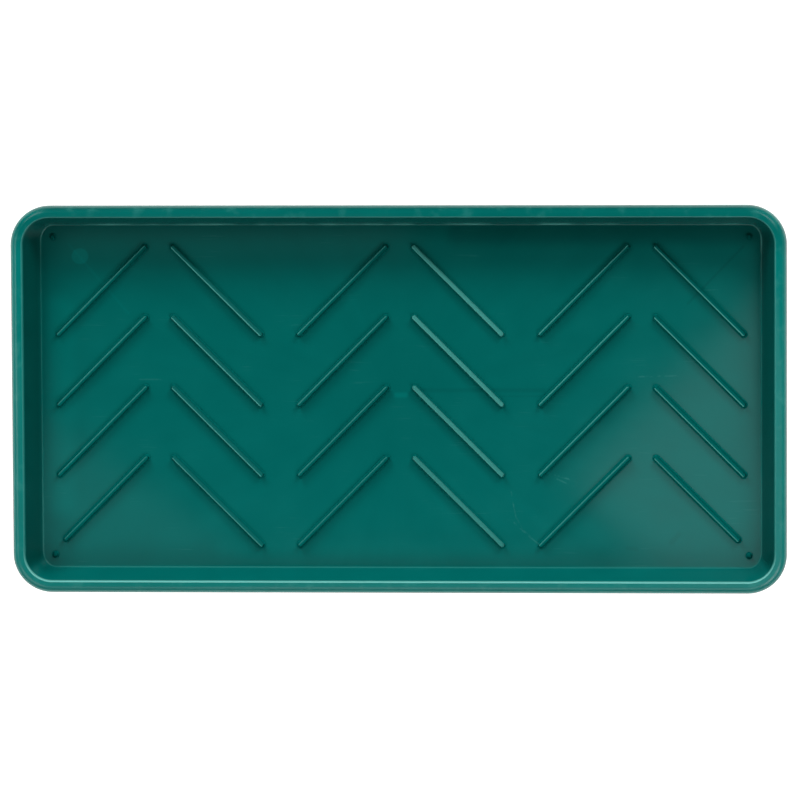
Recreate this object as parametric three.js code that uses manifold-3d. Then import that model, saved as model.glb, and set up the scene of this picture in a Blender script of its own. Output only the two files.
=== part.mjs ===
// Shallow drainage tray for standing plant pots in, moulded in green polypropylene: a shell with leaning
// walls and a rolled rim, drip ribs in rows of chevrons that lift the pots clear of the water, and a
// small round pip in each corner of the floor.
// Millimetres, +Z up. The origin is on the ground under the middle of the tray, with +X along its
// length and +Y the way the chevrons point.

import * as THREE from "three";
import { mergeVertices } from "three/addons/utils/BufferGeometryUtils.js";
import Module from "manifold-3d";

const wasm = await Module();
wasm.setup();

// Shell sizes, with each lean measured from the foot of a wall to its rim
const overallLength = 790;
const overallWidth = 396;
const overallHeight = 50;
const cornerRadius = 40;
const floorThickness = 2.5;
const wallThickness = 2.2;
const endWallLean = 14;
const sideWallLean = 9.5;
const floorFillet = 2.5;

// Rim sizes: a flat top that rolls over into a downturned skirt with a rounded lip
const rimWidth = 12;
const rimRoll = 8;
const rimEdgeRadius = 1.2;
const skirtDepth = 14;
const lipRadius = 0.8;

// Gate sizes: the sunk disc under the floor where the plastic was let into the mould, and its stub
const gateRecessDiameter = 14;
const gateRecessDepth = 1;
const gateStubDiameter = 4;
const gateStubHeight = 0.6;

// Drip rib sizes. The run is a rib's whole reach along X, and the gaps lie between the ribs' feet.
const ribSlant = THREE.MathUtils.degToRad(45);
const ribRun = 95;
const ribHeight = 6;
const ribFootWidth = 5.6;
const ribTopWidth = 3.4;
const ribEdgeRadius = 0.8;
const apexGap = 23;
const valleyGap = 34;
const rowPitch = 72.2;
const leastRibMargin = 8;

// Corner pip sizes, with the inset measured from the edges of the flat floor
const pipFootDiameter = 5;
const pipTopDiameter = 3.6;
const pipHeight = 3;
const pipEdgeRadius = 0.7;
const pipInset = 11;
const pipClearance = 11;

// Smoothness of the curves, and how much of a run or a bend its curves may use up
const arcSteps = 5;
const shellCornerSteps = 10;
const ribEndSteps = 3;
const pipSteps = 16;
const gateSteps = 24;
const mostOfRun = 0.96;
const leastBend = 0.5;

const polypropylene = new THREE.MeshStandardMaterial({ color: 0x005f58, roughness: 0.42, metalness: 0 });

// A cross-section of straight runs with rounded corners, as points of (inset, height). Each corner is
// [inset, height, radius], and radii that would crowd each other off a run shrink to fit it.
function roundedProfile(corners) {
  const at = corners.map(([inset, height]) => new THREE.Vector2(inset, height));
  const isEnd = (i) => i === 0 || i === at.length - 1;
  const towards = (i, j) => at[j].clone().sub(at[i]).normalize();
  const halfAngle = at.map((_, i) => (isEnd(i) ? 0 : towards(i, i - 1).angleTo(towards(i, i + 1)) / 2));
  const wanted = corners.map(([, , radius], i) => (isEnd(i) ? 0 : radius / Math.tan(halfAngle[i])));
  const share = (i, j) => {
    const asked = wanted[i] + wanted[j];
    return asked > 0 ? Math.min(1, (mostOfRun * at[i].distanceTo(at[j])) / asked) : 1;
  };
  return at.flatMap((corner, i) => {
    if (wanted[i] <= 0) return [corner];
    const reach = wanted[i] * Math.min(share(i - 1, i), share(i, i + 1));
    const radius = reach * Math.tan(halfAngle[i]);
    const back = towards(i, i - 1);
    const ahead = towards(i, i + 1);
    const middle = back.clone().add(ahead).normalize();
    const centre = corner.clone().addScaledVector(middle, radius / Math.sin(halfAngle[i]));
    const from = corner.clone().addScaledVector(back, reach).sub(centre).angle();
    const to = corner.clone().addScaledVector(ahead, reach).sub(centre).angle();
    const clockwise = back.cross(ahead) > 0;
    const arc = new THREE.EllipseCurve(centre.x, centre.y, radius, radius, from, to, clockwise);
    return arc.getPoints(arcSteps);
  });
}

// The stations round a rounded rectangle: which corner each belongs to, and the way out from it. On a
// shape with round ends two corners meet there in one point, which is kept once.
function outlineStations(roundEnds, cornerSteps) {
  const corners = [[1, 1], [-1, 1], [-1, -1], [1, -1]];
  return corners.flatMap(([signX, signY], quarter) => {
    const meetsNext = roundEnds && quarter % 2 === 1;
    return Array.from({ length: meetsNext ? cornerSteps : cornerSteps + 1 }, (_, step) => {
      const angle = ((quarter + step / cornerSteps) * Math.PI) / 2;
      return { signX, signY, outX: Math.cos(angle), outY: Math.sin(angle) };
    });
  });
}

// A solid made by carrying a profile round a rounded rectangle, turning from the section of its ends to
// that of its sides on the way round each corner. The profile runs from the top of the solid, out over
// its edge, to its underside, and flat faces close it at both.
function sweptGeometry(endProfile, sideProfile, length, width, radius, cornerSteps) {
  const stations = outlineStations(width <= 2 * radius, cornerSteps);
  const count = stations.length;
  const positions = endProfile.flatMap((endPoint, i) =>
    stations.flatMap(({ signX, signY, outX, outY }) => {
      const { x: inset, y: height } = endPoint.clone().lerp(sideProfile[i], outY * outY);
      const bend = Math.max(radius - inset, Math.min(leastBend, width / 2 - inset));
      const x = signX * (length / 2 - inset - bend) + bend * outX;
      const y = signY * (width / 2 - inset - bend) + bend * outY;
      return [x, y, height];
    }),
  );
  const topCentre = positions.length / 3;
  const bottomCentre = topCentre + 1;
  positions.push(0, 0, endProfile[0].y, 0, 0, endProfile.at(-1).y);

  const faces = [];
  const lastRing = (endProfile.length - 1) * count;
  for (let i = 0; i < count; i++) {
    const next = (i + 1) % count;
    faces.push(topCentre, i, next);
    for (let ring = 0; ring < lastRing; ring += count) {
      faces.push(ring + i, ring + count + i, ring + count + next);
      faces.push(ring + i, ring + count + next, ring + next);
    }
    faces.push(bottomCentre, lastRing + next, lastRing + i);
  }
  const geometry = new THREE.BufferGeometry();
  geometry.setAttribute("position", new THREE.Float32BufferAttribute(positions, 3));
  geometry.setIndex(faces);
  geometry.computeVertexNormals();
  return geometry;
}

// A geometry as a solid that can be joined and cut
function solidOf(geometry) {
  const bare = geometry.clone().deleteAttribute("normal").deleteAttribute("uv");
  const merged = mergeVertices(bare);
  return new wasm.Manifold(new wasm.Mesh({
    numProp: 3,
    vertProperties: merged.attributes.position.array,
    triVerts: new Uint32Array(merged.index.array),
  }));
}

function geometryOf(solid) {
  const { vertProperties, triVerts } = solid.getMesh();
  const geometry = new THREE.BufferGeometry();
  geometry.setAttribute("position", new THREE.BufferAttribute(vertProperties, 3));
  geometry.setIndex(new THREE.BufferAttribute(triVerts, 1));
  geometry.computeVertexNormals();
  return geometry;
}

// A wall leans out from the floor to the rim. Its section gives the insets from the outline, of its
// inner and outer faces at a height and of the edge of the flat floor, where its fillet ends.
function wallSection(lean) {
  const leanPerHeight = lean / (overallHeight - floorThickness);
  const slantThickness = wallThickness * Math.hypot(1, leanPerHeight);
  const footHalfAngle = (Math.PI / 2 + Math.atan(leanPerHeight)) / 2;
  const inner = (height) => rimWidth + (overallHeight - height) * leanPerHeight;
  const outer = (height) => inner(height) - slantThickness;
  const floorEdge = inner(floorThickness) + floorFillet / Math.tan(footHalfAngle);
  return { inner, outer, floorEdge };
}

const endWall = wallSection(endWallLean);
const sideWall = wallSection(sideWallLean);
const floorLength = overallLength - 2 * endWall.floorEdge;
const floorWidth = overallWidth - 2 * sideWall.floorEdge;

// The section of the shell from the edge of the floor up the wall, over the rim and back underneath.
// The middle of the tray only sets the way that the floor and the base lie, and isn't kept.
function shellProfile({ inner, outer }) {
  const middle = overallWidth / 2;
  const rimUnderside = overallHeight - wallThickness;
  const skirtFoot = overallHeight - skirtDepth;
  const section = roundedProfile([
    [middle, floorThickness, 0],
    [inner(floorThickness), floorThickness, floorFillet],
    [rimWidth, overallHeight, rimEdgeRadius],
    [0, overallHeight, rimRoll],
    [0, skirtFoot, lipRadius],
    [wallThickness, skirtFoot, lipRadius],
    [wallThickness, rimUnderside, Math.max(0, rimRoll - wallThickness)],
    [outer(rimUnderside), rimUnderside, rimEdgeRadius],
    [outer(0), 0, floorFillet + wallThickness],
    [middle, 0, 0],
  ]);
  return section.slice(1, -1);
}

function gateCylinder(diameter, depth, top) {
  const geometry = new THREE.CylinderGeometry(diameter / 2, diameter / 2, depth, gateSteps);
  return geometry.rotateX(Math.PI / 2).translate(0, 0, top - depth / 2);
}

function shellGeometry() {
  const [ends, sides] = [endWall, sideWall].map(shellProfile);
  const shell = sweptGeometry(ends, sides, overallLength, overallWidth, cornerRadius, shellCornerSteps);
  const recess = gateCylinder(gateRecessDiameter, 2 * gateRecessDepth, gateRecessDepth);
  const stubRoot = (floorThickness + gateRecessDepth) / 2;
  const stubFoot = gateRecessDepth - gateStubHeight;
  const stub = gateCylinder(gateStubDiameter, stubRoot - stubFoot, stubRoot);
  return geometryOf(solidOf(shell).subtract(solidOf(recess)).add(solidOf(stub)));
}

// A straight rib with round ends and drafted sides, lying along X with its foot on the floor
function ribGeometry(axisLength) {
  const [, ...profile] = roundedProfile([
    [ribFootWidth / 2, ribHeight, 0],
    [(ribFootWidth - ribTopWidth) / 2, ribHeight, ribEdgeRadius],
    [0, 0, 0],
  ]);
  const length = axisLength + ribFootWidth;
  return sweptGeometry(profile, profile, length, ribFootWidth, ribFootWidth / 2, ribEndSteps);
}

function pipGeometry() {
  const section = roundedProfile([
    [0, 0, 0],
    [pipFootDiameter / 2, 0, 0],
    [pipTopDiameter / 2, pipHeight, pipEdgeRadius],
    [0, pipHeight, 0],
  ]);
  return new THREE.LatheGeometry(section, pipSteps).rotateX(Math.PI / 2);
}

const tray = new THREE.Group();

function addPiece(name, geometry, x, y, z, turn = 0) {
  const mesh = new THREE.Mesh(geometry, polypropylene);
  mesh.name = name;
  mesh.position.set(x, y, z);
  mesh.rotation.z = turn;
  tray.add(mesh);
}

addPiece("tray_shell", shellGeometry(), 0, 0, 0);

// The chevrons lie in columns and rows about the middle of the floor, as many as come nearest to filling
// it. A rib's rise is its whole reach along Y.
const slope = Math.tan(ribSlant);
const ribRise = (ribRun - ribFootWidth) * slope + ribFootWidth;
const columnPitch = 2 * ribRun + apexGap + valleyGap;
const roomForColumns = floorLength - 2 * leastRibMargin + valleyGap;
const roomForRows = floorWidth - 2 * leastRibMargin - ribRise + rowPitch;
const columns = Math.max(1, Math.round(roomForColumns / columnPitch));
const rows = Math.max(1, Math.round(roomForRows / rowPitch));

// A rib that would come too near a wall is cut short there, and in the front corners short of the pip.
const ribLimitX = floorLength / 2 - leastRibMargin;
const ribLimitY = floorWidth / 2 - leastRibMargin;
const pipLimitY = floorWidth / 2 - pipInset - pipFootDiameter / 2 - pipClearance;

for (let column = 0; column < columns; column++) {
  const apexX = (column - (columns - 1) / 2) * columnPitch;
  for (let row = 0; row < rows; row++) {
    const rowY = ((rows - 1) / 2 - row) * rowPitch;
    for (const [hand, side] of [["left", -1], ["right", 1]]) {
      const endmost = column === (side < 0 ? 0 : columns - 1);
      const frontLimit = endmost ? Math.min(ribLimitY, pipLimitY) : ribLimitY;
      const pastEnd = side * apexX + apexGap / 2 + ribRun - ribLimitX;
      const pastFront = ribRise / 2 - rowY - frontLimit;
      const pastBack = ribRise / 2 + rowY - ribLimitY;
      const outerCut = Math.max(0, pastEnd, pastFront / slope);
      const innerCut = Math.max(0, pastBack / slope);
      const x = apexX + (side * (apexGap + ribRun + innerCut - outerCut)) / 2;
      const y = rowY + ((outerCut - innerCut) * slope) / 2;
      const axisRun = ribRun - ribFootWidth - outerCut - innerCut;
      const name = `chevron_${column + 1}_row_${row + 1}_${hand}_rib`;
      addPiece(name, ribGeometry(axisRun / Math.cos(ribSlant)), x, y, floorThickness, -side * ribSlant);
    }
  }
}

for (const [end, signY] of [["back", 1], ["front", -1]]) {
  for (const [hand, signX] of [["left", -1], ["right", 1]]) {
    const x = signX * (floorLength / 2 - pipInset);
    const y = signY * (floorWidth / 2 - pipInset);
    addPiece(`corner_pip_${end}_${hand}`, pipGeometry(), x, y, floorThickness);
  }
}

export default tray;
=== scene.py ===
"""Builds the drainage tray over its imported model: the moulded shell, its drip ribs and corner pips,
and a white stage that is seen from almost straight above. Metres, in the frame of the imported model."""

import math
from types import SimpleNamespace

import bpy
from bpy.props import FloatProperty, FloatVectorProperty, PointerProperty
from mathutils import Matrix, Vector


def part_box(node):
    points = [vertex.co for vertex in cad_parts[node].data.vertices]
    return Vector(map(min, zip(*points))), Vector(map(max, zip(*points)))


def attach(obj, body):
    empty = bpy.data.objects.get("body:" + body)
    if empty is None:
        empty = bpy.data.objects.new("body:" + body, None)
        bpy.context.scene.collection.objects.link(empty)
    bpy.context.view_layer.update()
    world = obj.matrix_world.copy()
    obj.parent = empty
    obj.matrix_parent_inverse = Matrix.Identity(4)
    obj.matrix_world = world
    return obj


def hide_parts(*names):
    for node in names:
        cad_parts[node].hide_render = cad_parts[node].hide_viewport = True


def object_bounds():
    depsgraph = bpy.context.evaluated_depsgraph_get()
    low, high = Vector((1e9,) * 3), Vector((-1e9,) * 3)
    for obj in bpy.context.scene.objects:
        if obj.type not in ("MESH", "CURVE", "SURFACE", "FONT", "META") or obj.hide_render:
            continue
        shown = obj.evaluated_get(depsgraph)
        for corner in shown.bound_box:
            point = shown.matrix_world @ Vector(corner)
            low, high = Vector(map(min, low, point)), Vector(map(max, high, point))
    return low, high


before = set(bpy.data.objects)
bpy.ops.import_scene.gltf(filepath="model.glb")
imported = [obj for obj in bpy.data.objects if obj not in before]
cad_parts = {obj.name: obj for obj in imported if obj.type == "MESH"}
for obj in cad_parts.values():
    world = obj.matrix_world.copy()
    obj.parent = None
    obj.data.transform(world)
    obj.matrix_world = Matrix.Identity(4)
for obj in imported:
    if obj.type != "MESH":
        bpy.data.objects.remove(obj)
CAD_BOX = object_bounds()

bl_info = {
    "name": "Drainage tray",
    "version": (1, 0, 0),
    "blender": (4, 5, 0),
    "location": "3D View > Sidebar > Tray",
    "description": "Builds a moulded drainage tray and the stage that it is shown on",
    "category": "Object",
}

SHELL_NODE = "tray_shell"
RIB_NODES = sorted(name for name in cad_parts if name.endswith("_rib"))
PIP_NODES = sorted(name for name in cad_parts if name.startswith("corner_pip"))
BODY = "root"

MM = 0.001

# How finely the meshes are made: steps round each corner and bend, sides round each circle, the angle
# past which an edge stays sharp, and the distance within which points merge.
SHELL_CORNER_STEPS = 20
SHELL_BEND_STEPS = 8
BOSS_BEND_STEPS = 5
BOSS_SIDES = 24
GATE_SIDES = 48
STUB_SIDES = 32
PIN_SIDES = 64
SHARP_EDGE = math.radians(35)
MERGE_DISTANCE = 0.002 * MM

# How far a rib or a pip is sunk into the floor, and the bend at the foot of its fillet.
BOSS_SUNK = 0.3 * MM
FILLET_FOOT_BEND = 0.05 * MM

# The ejector pin's mark on the floor: its place in millimetres, and how far its flank spreads for its
# height.
PIN_X, PIN_Y = -328.4, 143.6
PIN_SLOPE = 5.0

# The camera, and the floor and the walls of the studio. The walls fade out between two heights, given as
# the sine of their elevation.
SENSOR_WIDTH = 36.0
CAMERA_LENS = 309.6
CAMERA_PLACE = Vector((0.440, 0.620, 7.0))
CAMERA_TARGET = Vector((0.00236, 0.00022, 0.05))
CAMERA_ROLL = -0.0049
CAMERA_REACH = 100.0
FLOOR_SPAN = 30.0
FLOOR_ROUGHNESS = 0.9
FLOOR_GLOW = 1.0
WALL_GLOW = 0.06
WALL_FADE = (0.1, 0.7)

# Softboxes that face the tray: azimuth from +X and elevation in degrees, width, height and radiance.
SOFTBOX_DISTANCE = 3.0
SOFTBOXES = {
    "back_right_softbox": (58, 31, 1.3, 0.8, 8.0),
    "high_back_right_softbox": (45, 52, 0.8, 0.8, 3.4),
    "back_left_softbox": (121, 26, 1.4, 1.0, 7.0),
    "high_back_left_softbox": (135, 47, 0.8, 0.8, 2.6),
    "left_softbox": (180, 42, 0.8, 0.8, 1.7),
    "front_left_softbox": (225, 45, 1.2, 1.2, 1.25),
    "front_softbox": (270, 46, 1.2, 1.2, 1.0),
    "front_right_softbox": (315, 48, 1.2, 1.2, 2.9),
}

# Softboxes that light the tray without showing in its sheen.
UNSEEN_SOFTBOXES = ("back_right_softbox", "back_left_softbox")

# Panels that show as reflections and light nothing: place, tilt and turn in degrees, size and radiance.
# Those without a tilt lie over the tray, and the others stand beside it.
SHEEN_PANELS = {
    "front_right_sheen": (0.42, -0.16, 0.3, 0, 45, 0.30, 0.42, 0.68),
    "front_left_sheen": (-0.36, -0.20, 0.3, 0, -35, 0.36, 0.20, 0.23),
    "back_left_sheen": (-0.20, 0.155, 0.3, 0, 0, 0.38, 0.06, 0.13),
    "left_rim_sheen": (-0.57, -0.24, 0.3, 0, 0, 0.30, 0.52, 0.48),
    "right_rim_sheen": (0.49, -0.24, 0.3, 0, 0, 0.30, 0.52, 0.58),
    "front_rim_sheen": (0.0, -0.36, 0.3, 0, 0, 0.9, 0.30, 0.46),
    "left_screen": (-0.75, -0.2, 0.2, 90, -90, 1.0, 0.4, 0.28),
    "right_screen": (0.75, -0.2, 0.2, 90, 90, 1.0, 0.4, 0.28),
    "front_screen": (0.0, -0.6, 0.2, 90, 0, 1.6, 0.4, 0.26),
}

# How strong each rib's painted highlight is, by its chevron and its hand: a line along the left edge
# of its top, and its whole top. The rows toward the front get less of it.
RIB_HIGHLIGHTS = {
    ("chevron_1", "left"): (0.4, 0.0), ("chevron_1", "right"): (0.9, 0.06),
    ("chevron_2", "left"): (0.4, 0.0), ("chevron_2", "right"): (0.85, 0.55),
    ("chevron_3", "left"): (0.55, 0.0), ("chevron_3", "right"): (0.8, 0.0),
}
ROW_HIGHLIGHTS = {"row_1": 1.0, "row_2": 1.0, "row_3": 0.9, "row_4": 0.75}
# How strong the painted highlight is on a pip's edge and top.
PIP_HIGHLIGHT = (0.1, 0.0)

# Sizes of the plastic's patterns. Its real grain is about 0.1 mm, too fine to show, so it is drawn coarser.
MOTTLE_PATCH = 45 * MM
STREAKS_ROUND = 9.0
STREAK_LENGTH = 160 * MM
WAVE_LENGTH = 26 * MM
WAVE_HEIGHT = 0.02 * MM
GRAIN_SIZE = 2.5 * MM
GRAIN_HEIGHT = 0.002 * MM
SCRATCHES_PER_METRE = (30, 600, 600)
SCUFF_PATCH = 7 * MM
RIM_PATCH = 16 * MM
# Size of the patches of the painted highlight along the back wall's foot.
FOOT_PATCH = 45 * MM
# Width of the painted shade along the walls' feet.
SHADE_WIDTH = 12 * MM

# How many finer layers each noise has, from plain waves to ragged patches.
PLAIN = 1.0
UNEVEN = 2.0
RAGGED = 3.0

# How strongly each pattern shows in the plastic's colour, and then in its polish. Some of them paint light
# and shade into the colour: the shade over the ribs, the pips and the walls' feet, the highlights along the
# rim's inner edge and the walls' feet, the paler rim, and the shade on the end walls and down the rim's
# back.
MOTTLE_GAIN = 0.14
STREAK_GAIN = 0.12
# The next three set the painted shade over the ribs, the pips and the floor along the walls' feet.
PAINTED_SHADE_GAIN = 0.3
WALL_SHADE = 0.4
BOSS_SHADE = 0.65
SCRATCH_SHARE = 0.07
RIM_RUB_SHARE = 0.14
# How strong the painted highlight along the rim's inner edge is away from the front.
EDGE_LINE_SHARE = 0.17
# The next two set the painted highlight on the fillet along the walls' feet, at the front and at the back.
FOOT_FRONT_SHARE = 0.16
FOOT_BACK_SHARE = 0.75
# How much of the rim's painted light the back of the rim keeps.
RIM_BACK_SHARE = 0.2
# The next two set the painted shade on the end walls near their feet and down the back of the rim.
END_FOOT_SHARE = 0.7
BACK_ROLL_SHARE = 0.8
POLISH = 0.17
MOTTLE_ROUGHNESS = 0.1
BOSS_ROUGHNESS = 0.2
SPECULAR_LEVEL = 0.5
# How much the painted shade, and the ribs and pips, dull the specular level.
SHADE_DULLING = 0.5
PLASTIC_IOR = 1.49

# Where a pattern comes in, from none to all of it: across the tray, up it, by the way that a surface faces,
# by the distance from something, or by the strength of a noise.
# Where the painted light toward the front comes in.
FRONT_LIGHT_ACROSS = (160 * MM, -180 * MM)
RIM_HEIGHTS = (44 * MM, 49 * MM)
# Where the rim's painted light fades out toward the back.
RIM_BACK = (180 * MM, 140 * MM)
# Where the painted highlight along the rim's inner edge comes in: toward the front, and near the edge.
RIM_FRONT = (-150 * MM, -185 * MM)
RIM_EDGE_REACH = (1.2 * MM, 0.5 * MM)
RIM_NOISE = (0.5, 0.75)
# Where the painted shade on the end walls and down the back of the rim comes in.
END_FACING = (0.75, 0.95)
END_HEIGHTS = (3 * MM, 14 * MM)
BACK_ROLL = (190 * MM, 197 * MM)
FLOOR_FACING = (0.5, 0.9)
GATE_CLEAR = (20 * MM, 120 * MM)
# The next four place the ribs' painted highlight and painted shade: to the left side, on the top, on the
# flanks, and above the root.
LEFT_SIDE = (0.3 * MM, 0.8 * MM)
TOP_FACING = (0.2, 0.5)
FLANK_FACING = (0.995, 0.75)
RIB_HEIGHTS = (4.5 * MM, 5.3 * MM)
# Where the painted highlight on the fillet along the walls' feet comes in.
FOOT_LOW_FACING = (0.25, 0.5)
FOOT_HIGH_FACING = (0.98, 0.85)
FOOT_HEIGHTS = (5 * MM, 4 * MM)
FOOT_FRONT = (0.0, -150 * MM)
FOOT_BACK = (140 * MM, 165 * MM)
FOOT_NOISE = (0.4, 0.68)
# Where the painted shade along the walls' feet comes in: up from the floor, and back from the front.
SHADE_HEIGHTS = (3.2 * MM, 2.6 * MM)
SHADE_BACK = (-120 * MM, 40 * MM)
SCRATCH_NOISE = (0.62, 0.75)
SCRATCHED_PATCH = (0.5, 0.65)
SCUFF_NOISE = (0.38, 0.6)

# Marks on the floor, and three broad bands of painted shade and painted light: start, end, half width and
# soft edge in millimetres, and how much lighter each is.
FLOOR_MARKS_AND_PAINTED_LIGHT = (
    ((-4, 1), (5, 1), 4.5, 4.0, 0.25),
    ((350, 153), (294, 95), 2.4, 2.4, -0.15),
    ((-340, 156), (-279, 85), 2.4, 2.4, 0.1),
    ((13, 6), (146, 6), 3.6, 3.0, -0.1),
    ((104, 0), (146, 0), 1.8, 1.8, -0.08),
    ((277, -150), (284, -142), 4.5, 4.0, -0.1),
    ((232, -156), (241, -157), 3.5, 3.0, -0.08),
    ((PIN_X - 0.5, PIN_Y), (PIN_X + 0.5, PIN_Y), 9.0, 2.0, 0.32),
    # A painted shadow along the back wall's foot, on the right.
    ((60, 166), (350, 166), 20.0, 18.0, -0.25),
    # The next two are painted light, along the left wall's foot and along the front.
    ((-350, 90), (-350, -110), 24.0, 22.0, 0.24),
    ((-180, -160), (150, -160), 18.0, 18.0, 0.14),
)

# Scuffs on the floor: start, end, half width and soft edge in millimetres, and how far each is rubbed.
SCUFFS = (
    ((113, -98), (117, -122), 1.3, 1.3, 0.16),
    ((117, -122), (125, -139), 1.4, 1.4, 0.2),
    ((125, -139), (142, -153), 1.4, 1.4, 0.16),
    ((116, -130), (134, -146), 1.6, 1.6, 0.12),
    ((158, -81), (178, -87), 1.4, 1.4, 0.22),
    ((160, -85), (177, -93), 1.4, 1.4, 0.16),
    ((243, 20), (284, 21), 1.4, 1.4, 0.14),
    ((-268, 17), (-243, 17), 1.4, 1.4, 0.08),
)

# Names of the node trees and the plastic, and of kinds of nodes and sockets.
CARRIED_SECTION = "Carried section"
FLOOR_BOSSES = "Floor bosses"
PLASTIC = "Injection moulded polypropylene"
SHADER = "Principled BSDF"
SEPARATE = "ShaderNodeSeparateXYZ"
COMBINE = "ShaderNodeCombineXYZ"
MATH = "ShaderNodeMath"
VECTOR_MATH = "ShaderNodeVectorMath"
INTEGER_MATH = "FunctionNodeIntegerMath"
MAP_RANGE = "ShaderNodeMapRange"
MIX = "ShaderNodeMix"
NOISE = "ShaderNodeTexNoise"
COORDINATES = "ShaderNodeTexCoord"
ATTRIBUTE = "ShaderNodeAttribute"
BUMP = "ShaderNodeBump"
POSITION = "GeometryNodeInputPosition"
NAMED_ATTRIBUTE = "GeometryNodeInputNamedAttribute"
DOMAIN_SIZE = "GeometryNodeAttributeDomainSize"
SAMPLE_INDEX = "GeometryNodeSampleIndex"
SET_POSITION = "GeometryNodeSetPosition"
FILLET = "GeometryNodeFilletCurve"
TRANSFORM = "GeometryNodeTransform"
CYLINDER = "GeometryNodeMeshCylinder"
BOOLEAN = "GeometryNodeMeshBoolean"
GROUP = "GeometryNodeGroup"
REALIZE = "GeometryNodeRealizeInstances"
SET_MATERIAL = "GeometryNodeSetMaterial"
OUTPUT = "NodeGroupOutput"
SMOOTH = {"interpolation_type": "SMOOTHSTEP"}
OF_VECTORS = {"data_type": "FLOAT_VECTOR"}
FLOAT = "NodeSocketFloat"
INTEGER = "NodeSocketInt"
VECTOR = "NodeSocketVector"
GEOMETRY = "NodeSocketGeometry"
MATERIAL = "NodeSocketMaterial"
OBJECT = "NodeSocketObject"

# Sockets of a Mix node, by number, because those for vectors and for colours share their names.
MIX_SHARE = 0
MIX_VECTORS = (4, 5)
MIX_COLOURS = (6, 7)
MIXED_VECTOR = 1
MIXED_COLOUR = 2


def linear(hex_colour):
    """An sRGB hex colour as linear red, green, blue and alpha."""
    shares = [int(hex_colour[at:at + 2], 16) / 255 for at in (1, 3, 5)]
    bright = [share / 12.92 if share <= 0.04045 else ((share + 0.055) / 1.055) ** 2.4 for share in shares]
    return (*bright, 1.0)


def length(name, description, millimetres):
    """A length that a user can change, with its default in millimetres."""
    default = millimetres * MM
    return FloatProperty(name=name, description=description, default=default, unit="LENGTH", precision=5)


def colour(name, description, hex_colour):
    """A colour that a user can change, with its default as an sRGB hex value."""
    default = linear(hex_colour)
    return FloatVectorProperty(
        name=name, description=description, default=default, size=4, subtype="COLOR", min=0, max=1
    )


class TrayShellSizes(bpy.types.PropertyGroup):
    """Sizes of the shell. Its overall length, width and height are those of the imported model."""

    corner_radius: length("Corner radius", "Radius of the outline's corners", 40)
    floor_thickness: length("Floor thickness", "Thickness of the floor", 2.5)
    wall_thickness: length("Wall thickness", "Thickness of the walls and the rim", 2.2)
    end_lean: length("End wall lean", "How far an end wall leans out from its foot to the rim", 14)
    side_lean: length("Side wall lean", "How far a side wall leans out from its foot to the rim", 9.5)
    floor_fillet: length("Floor fillet", "Radius where the floor meets a wall", 2.5)
    rim_width: length("Rim width", "Width of the rim, seen from above", 12)
    rim_roll: length("Rim roll", "Radius that the rim turns down with", 8)
    rim_edge: length("Rim edge", "Radius of the rim's inner edge", 1.2)
    skirt_depth: length("Skirt depth", "Depth of the rim's downturned skirt", 14)
    lip_radius: length("Lip radius", "Radius of the two edges of the skirt's lip", 0.8)
    gate_width: length("Gate recess width", "Diameter of the recess under the middle", 14)
    gate_depth: length("Gate recess depth", "Depth of the recess under the middle", 1)
    stub_width: length("Gate stub width", "Diameter of the stub left in the recess", 4)
    stub_height: length("Gate stub height", "Height of the stub left in the recess", 0.6)
    pin_width: length("Pin mark width", "Diameter of the mark that an ejector pin left on the floor", 17.5)
    pin_depth: length("Pin mark depth", "Depth of the mark that an ejector pin left on the floor", 0.15)
    pin_x: length("Pin mark X", "Place of the ejector pin's mark along the tray", PIN_X)
    pin_y: length("Pin mark Y", "Place of the ejector pin's mark across the tray", PIN_Y)


class TrayBossSizes(bpy.types.PropertyGroup):
    """Sizes of the ribs and pips. Their heights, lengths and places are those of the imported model."""

    rib_foot: length("Rib foot", "Width of a rib at the floor", 5.6)
    rib_top: length("Rib top", "Width of a rib at its top", 3.4)
    rib_edge: length("Rib edge", "Radius of the edges of a rib's top", 0.8)
    pip_top: length("Pip top", "Diameter of a pip at its top", 3.6)
    pip_edge: length("Pip edge", "Radius of the edge of a pip's top", 0.7)
    root_fillet: length("Root fillet", "Radius where a rib or a pip meets the floor", 1.5)


class TrayFinish(bpy.types.PropertyGroup):
    """Colours of the plastic and the stage."""

    plastic: colour("Plastic", "Colour of the moulded plastic", "#007972")
    # Paler toward the front: painted light.
    front_light_tone: colour("Faded plastic", "Colour of the plastic toward the front", "#00817B")
    # Painted shade on the end walls and down the back of the rim.
    shade_tone: colour("Deep plastic", "Colour of the plastic on the end walls and down the rim's back", "#005B55")
    # The paler rim is painted light, and the back of the rim keeps little of it.
    rim: colour("Rim", "Colour of the plastic along the handled rim", "#00958D")
    # Both real rubs and scuffs and the painted highlights along the ribs and the walls' feet take this
    # colour.
    rub_and_highlight_tone: colour("Rubbed plastic", "Colour of the plastic where it is rubbed", "#66CCC1")
    # A painted highlight along the rim's inner edge.
    edge_highlight_tone: colour("Worn edge", "Colour of the plastic along the rim's inner edge", "#90F0E6")
    floor: colour("Stage floor", "Colour of the floor that the tray stands on", "#F7F7F5")


def node(tree, kind, inputs=(), **settings):
    """Adds a node with its settings. Its inputs go by name or in order, and each takes a value, a socket,
    a node for its first output, or a list of these."""
    made = tree.nodes.new(kind)
    for setting, value in settings.items():
        setattr(made, setting, value)
    for key, value in inputs.items() if isinstance(inputs, dict) else enumerate(inputs):
        for source in value if isinstance(value, list) else [value]:
            if isinstance(source, bpy.types.Node):
                source = source.outputs[0]
            if isinstance(source, bpy.types.NodeSocket):
                tree.links.new(source, made.inputs[key])
            else:
                made.inputs[key].default_value = source
    return made


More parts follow.
